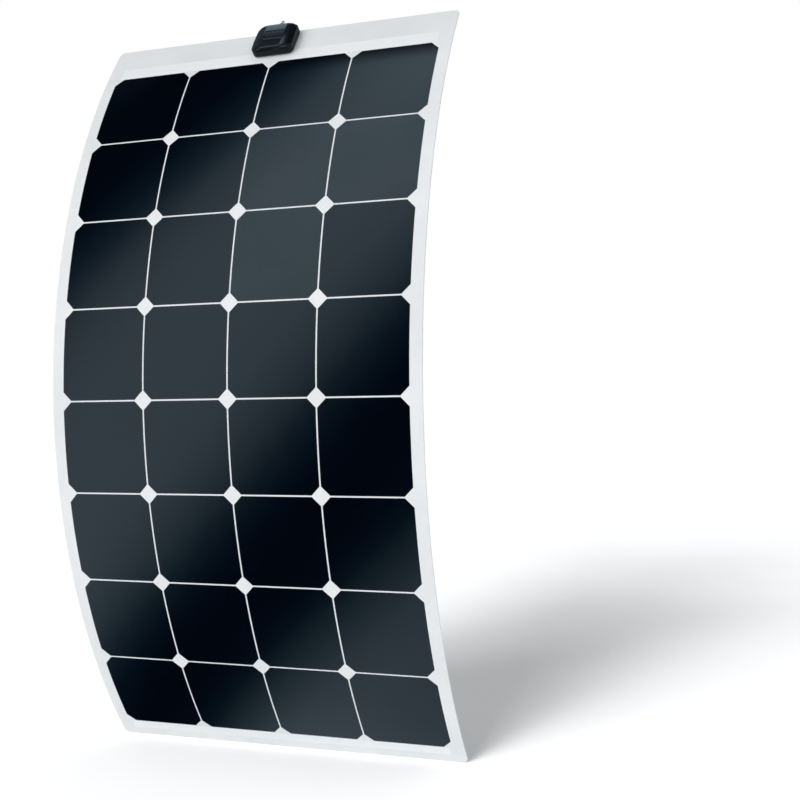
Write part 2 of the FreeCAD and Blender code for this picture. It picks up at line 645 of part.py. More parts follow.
# outlet collar, a short tapered spout on the wall that faces the sheet's top edge
collar = new_body("outlet_collar", box_frame)
sk = new_sketch(collar, "YZ_Plane", "collar_profile")
wall = bt
inner_r = D("stub_radius") + 0.02
polygon(sk, [
    (wall, D("outlet_height") + inner_r),
    (wall, D("outlet_height") + D("collar_root")),
    (wall + 1.6, D("outlet_height") + D("collar_root")),
    (wall + D("collar_long"), D("outlet_height") + D("collar_tip")),
    (wall + D("collar_long"), D("outlet_height") + inner_r),
])
axis = sk.addGeometry(
    Part.LineSegment(Vector(wall.value, D("outlet_height").value, 0), Vector(wall.value + 20, D("outlet_height").value, 0)), True
)
sk.addConstraint(Sketcher.Constraint("Horizontal", axis))
bind(sk, sk.addConstraint(Sketcher.Constraint("DistanceY", -1, 1, axis, 1, D("outlet_height").value)), D("outlet_height"))
bind(sk, sk.addConstraint(Sketcher.Constraint("DistanceX", -1, 1, axis, 1, wall.value)), wall)
sk.addConstraint(Sketcher.Constraint("DistanceX", axis, 1, axis, 2, 20.0))
turn = collar.newObject("PartDesign::Revolution", "spout")
turn.Profile = sk
turn.ReferenceAxis = (sk, ["Axis0"])
turn.Angle = 360.0
collar.Tip = turn
doc.recompute()
keep(collar)

# outlet stub, a plain round pin that closes the spout
stub = new_body("outlet_stub", box_frame)
sk = new_sketch(stub, "XZ_Plane", "stub_outline")
circle(sk, q(0.0), D("outlet_height"), D("stub_radius"))
f = pad(stub, sk, "pin", D("box_tall") / 2 + D("stub_out"), back=True)
sk = new_sketch(stub, "XZ_Plane", "stub_trim")
circle(sk, q(0.0), D("outlet_height"), D("stub_radius") + 1.0)
f = pad(stub, sk, "trim", D("box_tall") / 2 - D("base_wall") - 0.6, cut=True, back=False)
sk = new_sketch(stub, "XZ_Plane", "stub_tip_outline")
circle(sk, q(0.0), D("outlet_height"), D("stub_tip"))
circle(sk, q(0.0), D("outlet_height"), D("stub_radius") + 1.0)
sk.AttachmentOffset = Placement(Vector(0, 0, -(D("box_tall") / 2 + D("collar_long") + 0.5).value), Rotation())
f = pad(stub, sk, "tip", D("stub_out"), cut=True, back=False)
reach_y = stub_end - 0.01
f = dress(stub, "Chamfer", "nose", f, lambda e: e.BoundBox.YMin > reach_y and len(e.Vertexes) == 1, q(nose))
keep(stub)

# ---------------------------------------------------------------- checks and export
doc.recompute()
bad = [o.Label for o in doc.Objects if "Invalid" in o.State or "Error" in o.State]
if bad:
    raise RuntimeError("failed objects: %s" % bad)
if len(PARTS) > 60:
    raise RuntimeError("too many sub-parts: %d" % len(PARTS))
for label, obj in PARTS.items():
    shape = obj.Shape
    if shape.isNull() or not shape.isValid() or not shape.Solids:
        raise RuntimeError("%s has no valid solid" % label)

os.makedirs("parts", exist_ok=True)
total = None
for label, obj in PARTS.items():
    obj.Shape.exportStep("parts/%s.step" % label)
    box = obj.Shape.BoundBox
    total = box if total is None else total.united(box)
    if not label.startswith("cell_r") or label == "cell_r1_c1":
        print("%-26s solids %2d volume %10.1f  x %.1f..%.1f y %.1f..%.1f z %.1f..%.1f" % (
            label, len(obj.Shape.Solids), obj.Shape.Volume,
            box.XMin, box.XMax, box.YMin, box.YMax, box.ZMin, box.ZMax))
print(len(PARTS), "sub-parts; box", total)
print("bend axis", AXIS_Y, AXIS_Z, "box frame", box_frame.Base, "tilt", math.degrees(box_angle))
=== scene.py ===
import bpy
import json
import math
import numpy as np
from mathutils import Matrix, Vector


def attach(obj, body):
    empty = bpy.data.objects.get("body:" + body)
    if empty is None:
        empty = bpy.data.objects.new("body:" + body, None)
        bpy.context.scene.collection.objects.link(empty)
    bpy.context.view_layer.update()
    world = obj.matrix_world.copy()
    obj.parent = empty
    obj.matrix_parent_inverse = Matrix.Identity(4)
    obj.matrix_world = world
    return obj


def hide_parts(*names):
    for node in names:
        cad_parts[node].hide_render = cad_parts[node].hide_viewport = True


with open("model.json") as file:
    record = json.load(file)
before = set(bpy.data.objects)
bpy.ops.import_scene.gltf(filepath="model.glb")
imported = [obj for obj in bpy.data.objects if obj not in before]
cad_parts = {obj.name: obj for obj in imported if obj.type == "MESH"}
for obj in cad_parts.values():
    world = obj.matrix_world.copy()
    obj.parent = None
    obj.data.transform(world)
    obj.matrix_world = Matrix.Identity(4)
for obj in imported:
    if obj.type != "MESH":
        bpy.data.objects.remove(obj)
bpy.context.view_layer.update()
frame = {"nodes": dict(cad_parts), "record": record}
scene = bpy.context.scene
nodes = frame["nodes"]
MM = 0.001

# ---------------------------------------------------------------- the bent sheet
# x runs across the sheet, s up along it from its middle, w out of its middle surface.
# The sheet is a cylinder of radius R about an axis along x through (AY, AZ).
R = 0.840
AY = 0.74964375
AZ = 0.516259121
HALF_W, HALF_L, CORNER = 0.270, 0.555, 0.008


def place(x, s, w):
    t = s / R
    return (x, AY - (R + w) * math.cos(t), AZ + (R + w) * math.sin(t))


def outward(s):
    t = s / R
    return Vector((0.0, -math.cos(t), math.sin(t)))


def upward(s):
    t = s / R
    return Vector((0.0, math.sin(t), math.cos(t)))


def spread(a, b, step):
    n = max(1, int(math.ceil(abs(b - a) / step)))
    return [a + (b - a) * i / n for i in range(n + 1)]


def make_mesh(name, verts, faces, uvs, normals, slot_of=None):
    """A closed mesh from points in sheet coordinates (x, s, w), with a UV map and exact normals.
    normals holds one vector or None for each corner of each face."""
    me = bpy.data.meshes.new(name)
    me.from_pydata([place(*v) for v in verts], [], faces)
    uv = me.uv_layers.new(name="sheet")
    flat = []
    for f in faces:
        for i in f:
            flat.extend(uvs[i])
    uv.data.foreach_set("uv", flat)
    me.polygons.foreach_set("use_smooth", [True] * len(faces))
    if slot_of is not None:
        me.polygons.foreach_set("material_index", slot_of)
    me.update()
    me.normals_split_custom_set([tuple(n) for n in normals])
    me.validate(verbose=False, clean_customdata=False)
    ob = bpy.data.objects.new(name, me)
    scene.collection.objects.link(ob)
    return ob


def ring_outline(inset, top_x, side_s, arc):
    """A rounded rectangle set in by inset, as points (x, s, nx, ns), always with the same count."""
    r = max(CORNER - inset, 0.0002)
    cx, cs = HALF_W - CORNER, HALF_L - CORNER
    k = CORNER - r
    pts = []
    hw, hl = HALF_W - inset, HALF_L - inset
    # right side going up, top going left, left side going down, bottom going right
    for s in side_s[1:-1]:
        pts.append((hw, s, 1.0, 0.0))
    for i in range(arc + 1):
        a = 0.5 * math.pi * i / arc
        pts.append((cx + (hw - cx) * 1.0 - r + r * math.cos(a), cs + (hl - cs) - r + r * math.sin(a), math.cos(a), math.sin(a)))
    for x in reversed(top_x[1:-1]):
        pts.append((x, hl, 0.0, 1.0))
    for i in range(arc + 1):
        a = 0.5 * math.pi * (1 + i / arc)
        pts.append((-hw + r + r * math.cos(a), hl - r + r * math.sin(a), math.cos(a), math.sin(a)))
    for s in reversed(side_s[1:-1]):
        pts.append((-hw, s, -1.0, 0.0))
    for i in range(arc + 1):
        a = 0.5 * math.pi * (2 + i / arc)
        pts.append((-hw + r + r * math.cos(a), -hl + r + r * math.sin(a), math.cos(a), math.sin(a)))
    for x in top_x[1:-1]:
        pts.append((x, -hl, 0.0, -1.0))
    for i in range(arc + 1):
        a = 0.5 * math.pi * (3 + i / arc)
        pts.append((hw - r + r * math.cos(a), -hl + r + r * math.sin(a), math.cos(a), math.sin(a)))
    return pts


def sheet_layer(name, w_back, w_front, round_front, round_back):
    """One full-size layer of the laminate: a bent plate with rounded corners and eased edges."""
    arc = 8
    top_x = spread(-(HALF_W - CORNER), HALF_W - CORNER, 0.022)
    side_s = spread(-(HALF_L - CORNER), HALF_L - CORNER, 0.0085)
    verts, uvs, norms = [], [], []

    def uv_of(x, s):
        return (0.5 + x / (2 * HALF_W), 0.5 + s / (2 * HALF_L))

    def add(x, s, w, n):
        verts.append((x, s, w))
        uvs.append(uv_of(x, s))
        norms.append(n)
        return len(verts) - 1

    def profile():
        # from the inner front, over the edge, to the inner back: (inset, w, lean) with lean 1 facing front, 0 sideways, -1 back
        p = [(0.0072, w_front, 1.0), (0.0034, w_front, 1.0), (0.0012, w_front, 1.0)]
        n = 4
        if round_front > 0:
            for i in range(n + 1):
                a = 0.5 * math.pi * i / n
                p.append((round_front * (1 - math.sin(a)), w_front - round_front * (1 - math.cos(a)), math.cos(a)))
        else:
            p.append((0.0, w_front, 1.0))
            p.append((0.0, w_front, 0.0))
        if round_back > 0:
            for i in range(n + 1):
                a = 0.5 * math.pi * i / n
                p.append((round_back * (1 - math.cos(a)), w_back + round_back * (1 - math.sin(a)), -math.sin(a)))
        else:
            p.append((0.0, w_back, 0.0))
            p.append((0.0, w_back, -1.0))
        p += [(0.0012, w_back, -1.0), (0.0034, w_back, -1.0), (0.0072, w_back, -1.0)]
        return p

    rings = []
    faces, corner_normals = [], []
    prof = profile()
    seen = {}
    for inset, w, lean in prof:
        key = (round(inset, 7), round(w, 7))
        out = []
        base = ring_outline(inset, top_x, side_s, arc)
        shared = seen.get(key)
        for j, (x, s, nx, ns) in enumerate(base):
            side = math.sqrt(max(0.0, 1 - lean * lean))
            n = (outward(s) * lean + (Vector((1, 0, 0)) * nx + upward(s) * ns) * side).normalized()
            idx = shared[j][0] if shared else add(x, s, w, n)
            out.append((idx, n))
        seen.setdefault(key, out)
        rings.append(out)
    count = len(rings[0])
    for a, b in zip(rings[:-1], rings[1:]):
        for i in range(count):
            j = (i + 1) % count
            f = [a[i], b[i], b[j], a[j]]
            ids = [q[0] for q in f]
            if len(set(ids)) == 4:
                faces.append(ids)
                corner_normals.extend(q[1] for q in f)

    def cap(ring, w, sign):
        ns_, nt_ = len(side_s), len(top_x)
        grid = {}
        for i, x in enumerate(top_x):
            for j, s in enumerate(side_s):
                grid[i, j] = add(x, s, w, outward(s) * sign)
        tri = []
        for i in range(nt_ - 1):
            for j in range(ns_ - 1):
                tri.append([grid[i, j], grid[i + 1, j], grid[i + 1, j + 1], grid[i, j + 1]])
        # walk round the ring in the same order as ring_outline and pair it with the grid's border
        border = []
        for j in range(1, ns_ - 1):
            border.append(grid[nt_ - 1, j])
        border += [grid[nt_ - 1, ns_ - 1]] * (arc + 1)
        for i in range(nt_ - 2, 0, -1):
            border.append(grid[i, ns_ - 1])
        border += [grid[0, ns_ - 1]] * (arc + 1)
        for j in range(ns_ - 2, 0, -1):
            border.append(grid[0, j])
        border += [grid[0, 0]] * (arc + 1)
        for i in range(1, nt_ - 1):
            border.append(grid[i, 0])
        border += [grid[nt_ - 1, 0]] * (arc + 1)
        for i in range(count):
            j = (i + 1) % count
            f = [border[i], ring[i][0], ring[j][0], border[j]]
            if border[i] == border[j]:
                f = [border[i], ring[i][0], ring[j][0]]
            tri.append(f)
        for f in tri:
            if sign < 0:
                f = f[::-1]
            faces.append(f)
            corner_normals.extend(outward(verts[k][1]) * sign for k in f)

    cap(rings[0], w_front, 1)
    cap(rings[-1], w_back, -1)
    return make_mesh(name, verts, faces, uvs, corner_normals)


def cell_mesh(name, cx, cs, half, leg, w_low, w_top, ease):
    """One solar cell: a thin bent tile with four cut corners and a fine eased edge."""
    step = 0.0052
    flat = half - leg
    rows = sorted(set([round(v, 9) for v in spread(-half, -flat, leg / 2) + spread(-flat, flat, step) + spread(flat, half, leg / 2)]))
    cols = [i / 10.0 for i in range(-10, 11, 2)]
    verts, uvs, faces, corner_normals = [], [], [], []

    def grid(h, w):
        k = (h / half)
        f = flat + (half - h) * 0.0
        out = []
        for r in rows:
            v = r * k
            # half width of the octagon at this height, after moving every edge in by the same amount
            d = half - h
            diag = (flat + half) - d * math.sqrt(2.0)
            hw = min(h, diag - abs(v))
            line = []
            for c in cols:
                verts.append((cx + c * hw, cs + v, w))
                uvs.append((0.5 + c * hw / (2 * half), 0.5 + v / (2 * half)))
                line.append(len(verts) - 1)
            out.append(line)
        return out

    def rim(g):
        top = len(g) - 1
        out = [g[j][-1] for j in range(0, top + 1)]
        out += [g[top][i] for i in range(len(cols) - 2, -1, -1)]
        out += [g[j][0] for j in range(top - 1, -1, -1)]
        out += [g[0][i] for i in range(1, len(cols) - 1)]
        return out

    front = grid(half - ease, w_top)
    wall_a = grid_rim = None
    g2 = []

    def ring(h, w):
        first = len(verts)
        g = grid(h, w)
        keep = rim(g)
        pts = [verts[i] for i in keep]
        uvk = [uvs[i] for i in keep]
        del verts[first:]
        del uvs[first:]
        ids = []
        for p, u in zip(pts, uvk):
            verts.append(p)
            uvs.append(u)
            ids.append(len(verts) - 1)
        return ids

    r0 = rim(front)
    r1 = ring(half - ease * 0.3, w_top - ease * 0.3)
    r2 = ring(half, w_top - ease)
    r3 = ring(half, w_low)
    back = grid(half, w_low)
    # weld the back grid's rim to the wall's last ring
    back_rim = rim(back)
    swap = dict(zip(back_rim, r3))
    for a in range(len(front) - 1):
        for b in range(len(cols) - 1):
            faces.append([front[a][b], front[a][b + 1], front[a + 1][b + 1], front[a + 1][b]])
            corner_normals.extend(outward(verts[k][1]) for k in faces[-1])
    n = len(r0)

    def side_normal(i, ring_ids):
        p, q = verts[ring_ids[i]], verts[ring_ids[(i + 1) % n]]
        dx, ds = q[0] - p[0], q[1] - p[1]
        ln = math.hypot(dx, ds) or 1.0
        return Vector((1, 0, 0)) * (ds / ln) + upward(0.5 * (p[1] + q[1])) * (-dx / ln)

    for a, b, la, lb in ((r0, r1, 1.0, 0.75), (r1, r2, 0.75, 0.15), (r2, r3, 0.0, 0.0)):
        for i in range(n):
            j = (i + 1) % n
            side = side_normal(i, r2)
            faces.append([a[i], b[i], b[j], a[j]])
            for k, lean in ((a[i], la), (b[i], lb), (b[j], lb), (a[j], la)):
                corner_normals.append((outward(verts[k][1]) * lean + side * math.sqrt(1 - lean * lean)).normalized())
    for a in range(len(back) - 1):
        for b in range(len(cols) - 1):
            f = [back[a][b], back[a + 1][b], back[a + 1][b + 1], back[a][b + 1]]
            f = [swap.get(k, k) for k in f]
            faces.append(f)
            corner_normals.extend(outward(verts[k][1]) * -1 for k in f)
    # drop the points that welding left unused
    used = sorted(set(k for f in faces for k in f))
    remap = {k: i for i, k in enumerate(used)}
    verts = [verts[k] for k in used]
    uvs = [uvs[k] for k in used]
    faces = [[remap[k] for k in f] for f in faces]
    return make_mesh(name, verts, faces, uvs, corner_normals)


# ---------------------------------------------------------------- materials
def new_mat(name):
    m = bpy.data.materials.new(name)
    m.use_nodes = True
    nt = m.node_tree
    return m, nt, nt.nodes["Principled BSDF"]


def N(nt, kind, **kw):
    n = nt.nodes.new(kind)
    for k, v in kw.items():
        setattr(n, k, v)
    return n


def coords(nt, which="Object"):
    return N(nt, "ShaderNodeTexCoord").outputs[which]


def noise(nt, vec, scale, detail=2.0, rough=0.5, stretch=None):
    if stretch is not None:
        mp = N(nt, "ShaderNodeMapping")
        mp.inputs["Scale"].default_value = stretch
        nt.links.new(vec, mp.inputs["Vector"])
        vec = mp.outputs["Vector"]
    n = N(nt, "ShaderNodeTexNoise")
    n.inputs["Scale"].default_value = scale
    n.inputs["Detail"].default_value = detail
    n.inputs["Roughness"].default_value = rough
    nt.links.new(vec, n.inputs["Vector"])
    return n.outputs["Fac"]


def dots(nt, vec, scale, randomness=1.0):
    n = N(nt, "ShaderNodeTexVoronoi")
    n.inputs["Scale"].default_value = scale
    n.inputs["Randomness"].default_value = randomness
    nt.links.new(vec, n.inputs["Vector"])
    return n.outputs["Distance"]


def ramp(nt, fac, stops, smooth=False):
    n = N(nt, "ShaderNodeValToRGB")
    cr = n.color_ramp
    cr.interpolation = "EASE" if smooth else "LINEAR"
    while len(cr.elements) > 1:
        cr.elements.remove(cr.elements[-1])
    cr.elements[0].position = stops[0][0]
    cr.elements[0].color = tuple(stops[0][1]) + (1.0,)
    for p, c in stops[1:]:
        e = cr.elements.new(p)
        e.color = tuple(c) + (1.0,)
    nt.links.new(fac, n.inputs["Fac"])
    return n.outputs["Color"]


def remap(nt, value, a, b, c, d):
    n = N(nt, "ShaderNodeMapRange")
    n.inputs["From Min"].default_value = a
    n.inputs["From Max"].default_value = b
    n.inputs["To Min"].default_value = c
    n.inputs["To Max"].default_value = d
    nt.links.new(value, n.inputs["Value"])
    return n.outputs["Result"]


def math2(nt, op, a, b=None):
    n = N(nt, "ShaderNodeMath", operation=op)
    for i, v in enumerate((a, b)):
        if v is None:
            continue
        if isinstance(v, (int, float)):
            n.inputs[i].default_value = v
        else:
            nt.links.new(v, n.inputs[i])
    return n.outputs[0]


def mix_col(nt, fac, a, b):
    n = N(nt, "ShaderNodeMix", data_type="RGBA")
    for sock, v in ((n.inputs["Factor"], fac), (n.inputs[6], a), (n.inputs[7], b)):
        if isinstance(v, (int, float)):
            sock.default_value = v
        elif isinstance(v, tuple):
            sock.default_value = v + (1.0,) if len(v) == 3 else v
        else:
            nt.links.new(v, sock)
    return n.outputs[2]


def bump(nt, bsdf, height, strength, distance, more=None):
    n = N(nt, "ShaderNodeBump")
    n.inputs["Strength"].default_value = strength
    n.inputs["Distance"].default_value = distance
    nt.links.new(height, n.inputs["Height"])
    if more is not None:
        nt.links.new(more, n.inputs["Normal"])
    nt.links.new(n.outputs["Normal"], bsdf.inputs["Normal"])
    if "Coat Normal" in bsdf.inputs:
        nt.links.new(n.outputs["Normal"], bsdf.inputs["Coat Normal"])
    return n.outputs["Normal"]


def laminate_material():
    """The white front of the sheet under its clear film: satin, with faint mottling and a fine dimpled film."""
    m, nt, b = new_mat("laminate_front")
    vec = coords(nt, "Object")
    uv = N(nt, "ShaderNodeUVMap", uv_map="sheet").outputs["UV"]
    sep = N(nt, "ShaderNodeSeparateXYZ")
    nt.links.new(uv, sep.inputs[0])
    xx = math2(nt, "MULTIPLY", math2(nt, "SUBTRACT", sep.outputs["X"], 0.5), 2 * HALF_W * 1000)
    ss = math2(nt, "MULTIPLY", math2(nt, "SUBTRACT", sep.outputs["Y"], 0.5), 2 * HALF_L * 1000)

    def band(lo, hi, half):
        a = remap(nt, ss, lo - 0.5, lo + 0.5, 0.0, 1.0)
        c = remap(nt, ss, hi - 0.5, hi + 0.5, 1.0, 0.0)
        e = remap(nt, math2(nt, "ABSOLUTE", xx), half - 0.5, half + 0.5, 1.0, 0.0)
        return math2(nt, "MULTIPLY", math2(nt, "MULTIPLY", a, c), e)

    masks = math2(nt, "MAXIMUM", band(490.2, 511.0, 248.5), band(-540.5, -526.2, 248.5))
    big = noise(nt, vec, 9.0, 3.0, 0.55)
    fine = noise(nt, vec, 900.0, 2.0, 0.6)
    tone = ramp(nt, big, [(0.30, (0.735, 0.748, 0.752)), (0.72, (0.785, 0.797, 0.800))], True)
    tone2 = mix_col(nt, masks, tone, (0.835, 0.850, 0.858))
    speck = mix_col(nt, math2(nt, "MULTIPLY", remap(nt, fine, 0.42, 0.62, 0.0, 1.0), 0.10), tone2, (0.66, 0.68, 0.69))
    nt.links.new(speck, b.inputs["Base Color"])
    nt.links.new(remap(nt, noise(nt, vec, 22.0, 3.0), 0.3, 0.7, 0.34, 0.46), b.inputs["Roughness"])
    b.inputs["Specular IOR Level"].default_value = 0.35
    b.inputs["Coat Weight"].default_value = 0.55
    b.inputs["Coat Roughness"].default_value = 0.16
    b.inputs["Coat IOR"].default_value = 1.42
    height = math2(nt, "ADD", math2(nt, "MULTIPLY", dots(nt, vec, 1100.0, 0.6), 0.25), math2(nt, "MULTIPLY", noise(nt, vec, 38.0, 2.0), 1.6))
    bump(nt, b, height, 0.12, 0.0006)
    return m


def back_material():
    m, nt, b = new_mat("laminate_back")
    vec = coords(nt, "Object")
    big = noise(nt, vec, 7.0, 3.0, 0.5)
    weave = N(nt, "ShaderNodeTexWave", wave_type="BANDS", bands_direction="X")
    weave.inputs["Scale"].default_value = 190.0
    weave.inputs["Distortion"].default_value = 0.6
    weave.inputs["Detail"].default_value = 1.0
    nt.links.new(vec, weave.inputs["Vector"])
    weave2 = N(nt, "ShaderNodeTexWave", wave_type="BANDS", bands_direction="Z")
    weave2.inputs["Scale"].default_value = 190.0
    weave2.inputs["Distortion"].default_value = 0.6
    weave2.inputs["Detail"].default_value = 1.0
    nt.links.new(vec, weave2.inputs["Vector"])
    cloth = math2(nt, "MULTIPLY", weave.outputs["Fac"], weave2.outputs["Fac"])
    tone = ramp(nt, big, [(0.30, (0.70, 0.715, 0.72)), (0.72, (0.76, 0.77, 0.775))], True)
    tone2 = mix_col(nt, math2(nt, "MULTIPLY", cloth, 0.18), tone, (0.60, 0.62, 0.63))
    nt.links.new(tone2, b.inputs["Base Color"])
    nt.links.new(remap(nt, noise(nt, vec, 30.0, 2.0), 0.3, 0.7, 0.42, 0.55), b.inputs["Roughness"])
    b.inputs["Specular IOR Level"].default_value = 0.4
    # the cells show through faintly from inside
    uv = N(nt, "ShaderNodeUVMap", uv_map="sheet").outputs["UV"]
    sep = N(nt, "ShaderNodeSeparateXYZ")
    nt.links.new(uv, sep.inputs[0])
    gx = math2(nt, "MULTIPLY", math2(nt, "SUBTRACT", sep.outputs["X"], 0.5), 2 * HALF_W * 1000)
    gs = math2(nt, "ADD", math2(nt, "MULTIPLY", math2(nt, "SUBTRACT", sep.outputs["Y"], 0.5), 2 * HALF_L * 1000), 18.0)

    px = math2(nt, "SUBTRACT", 63.5, math2(nt, "PINGPONG", math2(nt, "ADD", math2(nt, "ABSOLUTE", gx), 63.5), 63.5))
    ps = math2(nt, "SUBTRACT", 63.5, math2(nt, "PINGPONG", math2(nt, "ADD", math2(nt, "ABSOLUTE", gs), 63.5), 63.5))
    near = math2(nt, "MINIMUM", px, ps)
    corner = math2(nt, "ADD", px, ps)
    gap = math2(nt, "MAXIMUM", remap(nt, near, 0.6, 2.4, 1.0, 0.0), remap(nt, corner, 12.0, 14.0, 1.0, 0.0))
    area = math2(nt, "MULTIPLY", remap(nt, math2(nt, "ABSOLUTE", gx), 252.5, 255.0, 1.0, 0.0), remap(nt, math2(nt, "ABSOLUTE", gs), 506.5, 509.0, 1.0, 0.0))
    cell = math2(nt, "MULTIPLY", area, math2(nt, "SUBTRACT", 1.0, gap))
    tone3 = mix_col(nt, math2(nt, "MULTIPLY", cell, 0.16), tone2, (0.50, 0.525, 0.54))
    nt.links.new(tone3, b.inputs["Base Color"])
    height = math2(nt, "ADD", math2(nt, "MULTIPLY", cloth, 0.5), math2(nt, "MULTIPLY", noise(nt, vec, 30.0, 2.0), 0.9))
    height = math2(nt, "ADD", height, math2(nt, "MULTIPLY", cell, 0.8))
    bump(nt, b, height, 0.14, 0.0005)
    return m


def cell_material(name, colour, seed):
    """A back-contact cell under the clear film: near-black blue, a paler hairline at its edge, a glossy coat."""
    m, nt, b = new_mat(name)
    vec = coords(nt, "Object")
    uv = N(nt, "ShaderNodeUVMap", uv_map="sheet").outputs["UV"]
    sep = N(nt, "ShaderNodeSeparateXYZ")
    nt.links.new(uv, sep.inputs[0])
    ax = math2(nt, "ABSOLUTE", math2(nt, "SUBTRACT", sep.outputs["X"], 0.5))
    ay = math2(nt, "ABSOLUTE", math2(nt, "SUBTRACT", sep.outputs["Y"], 0.5))
    edge = math2(nt, "MAXIMUM", ax, ay)
    diag = math2(nt, "ADD", math2(nt, "ADD", ax, ay), -(0.5 - 11.9 / 125.0))
    edge = math2(nt, "MAXIMUM", edge, diag)
    rim = remap(nt, edge, 0.4915, 0.4975, 0.0, 1.0)
    mp = N(nt, "ShaderNodeMapping")
    mp.inputs["Location"].default_value = (seed * 1.7, seed * 2.3, seed * 0.9)
    nt.links.new(vec, mp.inputs["Vector"])
    big = noise(nt, mp.outputs["Vector"], 14.0, 2.0, 0.5)
    grain = noise(nt, mp.outputs["Vector"], 1500.0, 2.0, 0.7)
    r, g, bl = colour
    tone = ramp(nt, big, [(0.30, (r * 0.85, g * 0.88, bl * 0.90)), (0.70, (r * 1.15, g * 1.12, bl * 1.10))], True)
    tone = mix_col(nt, math2(nt, "MULTIPLY", remap(nt, grain, 0.50, 0.80, 0.0, 1.0), 0.06), tone, (r + 0.018, g + 0.021, bl + 0.026))
    tone = mix_col(nt, math2(nt, "MULTIPLY", rim, 0.55), tone, (r + 0.030, g + 0.034, bl + 0.040))
    nt.links.new(tone, b.inputs["Base Color"])
    nt.links.new(remap(nt, noise(nt, mp.outputs["Vector"], 60.0, 2.0), 0.3, 0.7, 0.40, 0.52), b.inputs["Roughness"])
    b.inputs["Specular IOR Level"].default_value = 0.0
    b.inputs["Coat Weight"].default_value = 1.0
    b.inputs["Coat Roughness"].default_value = 0.06
    b.inputs["Coat IOR"].default_value = 1.5
    height = noise(nt, mp.outputs["Vector"], 26.0, 1.0)
    bump(nt, b, height, 0.05, 0.0006)
    return m


def metal_material(name, colour, rough, grain_scale):
    m, nt, b = new_mat(name)
    vec = coords(nt, "Object")
    g = noise(nt, vec, grain_scale, 3.0, 0.6, (1.0, 1.0, 0.15))
    r_, g_, b_ = colour
    tone = ramp(nt, g, [(0.3, (r_ * 0.8, g_ * 0.8, b_ * 0.8)), (0.7, (min(1, r_ * 1.1), min(1, g_ * 1.1), min(1, b_ * 1.1)))])
    nt.links.new(tone, b.inputs["Base Color"])
    b.inputs["Metallic"].default_value = 1.0
    nt.links.new(remap(nt, g, 0.3, 0.7, rough - 0.06, rough + 0.10), b.inputs["Roughness"])
    bump(nt, b, g, 0.10, 0.0002)
    return m


def plastic_material(name, colour, rough, coat=0.25, grain=900.0, grain_strength=0.10, coat_rough=0.22, spec=0.5):
    m, nt, b = new_mat(name)
    vec = coords(nt, "Object")
    big = noise(nt, vec, 45.0, 3.0, 0.5)
    fine = noise(nt, vec, grain, 3.0, 0.6)
    r_, g_, b_ = colour
    tone = ramp(nt, big, [(0.3, (r_ * 0.82, g_ * 0.82, b_ * 0.82)), (0.7, (r_ * 1.18, g_ * 1.18, b_ * 1.18))], True)
    tone = mix_col(nt, math2(nt, "MULTIPLY", remap(nt, fine, 0.45, 0.7, 0.0, 1.0), 0.18), tone, (r_ * 1.7 + 0.004, g_ * 1.7 + 0.004, b_ * 1.7 + 0.005))
    nt.links.new(tone, b.inputs["Base Color"])
    nt.links.new(remap(nt, big, 0.3, 0.7, rough - 0.05, rough + 0.07), b.inputs["Roughness"])
    b.inputs["Coat Weight"].default_value = coat
    b.inputs["Coat Roughness"].default_value = coat_rough
    b.inputs["Specular IOR Level"].default_value = spec
    height = math2(nt, "ADD", math2(nt, "MULTIPLY", fine, 1.0), math2(nt, "MULTIPLY", dots(nt, vec, grain * 1.3), 0.6))
    bump(nt, b, height, grain_strength, 0.0002)
    return m


def rubber_material(name, colour, rough):
    m, nt, b = new_mat(name)
    vec = coords(nt, "Object")
    fine = noise(nt, vec, 700.0, 3.0, 0.6)
    big = noise(nt, vec, 60.0, 2.0, 0.5)
    r_, g_, b_ = colour
    tone = ramp(nt, big, [(0.3, (r_ * 0.8, g_ * 0.8, b_ * 0.8)), (0.7, (r_ * 1.25, g_ * 1.25, b_ * 1.25))], True)
    nt.links.new(tone, b.inputs["Base Color"])
    nt.links.new(remap(nt, fine, 0.3, 0.7, rough - 0.06, rough + 0.06), b.inputs["Roughness"])
    b.inputs["Sheen Weight"].default_value = 0.12
    b.inputs["Sheen Roughness"].default_value = 0.5
    bump(nt, b, fine, 0.18, 0.0002)
    return m


MAT = {
    "laminate": laminate_material(),
    "back": back_material(),
    "tinned_copper": metal_material("tinned_ribbon", (0.78, 0.78, 0.76), 0.30, 500.0),
    "rail_metal": metal_material("rail_brass_tinned", (0.76, 0.73, 0.66), 0.28, 700.0),
    "clip_steel": metal_material("clip_spring_steel", (0.62, 0.63, 0.65), 0.24, 800.0),
    "adhesive_pad": rubber_material("foam_pad", (0.030, 0.030, 0.032), 0.72),
    "seal_rubber": rubber_material("lid_gasket", (0.045, 0.046, 0.048), 0.60),
    "collar_rubber": rubber_material("collar_rubber", (0.018, 0.020, 0.022), 0.46),
    "box_black": plastic_material("box_plastic", (0.0045, 0.0050, 0.0060), 0.48, 0.0, spec=0.25),
    "lid_black": plastic_material("lid_plastic", (0.0030, 0.0036, 0.0045), 0.42, 1.0, 900.0, 0.05, 0.11, 0.10),
    "diode_black": plastic_material("diode_epoxy", (0.016, 0.016, 0.017), 0.40, 0.1),
    "stub_grey": plastic_material("stub_sheath", (0.40, 0.44, 0.45), 0.42, 0.10, 700.0, 0.08),
}

# cell_deep is the cells' own near-black blue; the other three tones are lighter copies of it that carry a painted
# reflection of the surround in the base colour
CELL_BASE = (0.0002, 0.0011, 0.0034)
cell_tones_with_painted_reflections = {
    "cell_deep": CELL_BASE,
    "cell_painted_reflection_faint": (0.0030, 0.0058, 0.0080),
    "cell_painted_reflection_grey": (0.0115, 0.0165, 0.0200),
    "cell_painted_reflection_greenish": (0.0095, 0.0165, 0.0180),
}
for i, (k, c) in enumerate(cell_tones_with_painted_reflections.items()):
    MAT[k] = cell_material(k, c, 1.0 + i)


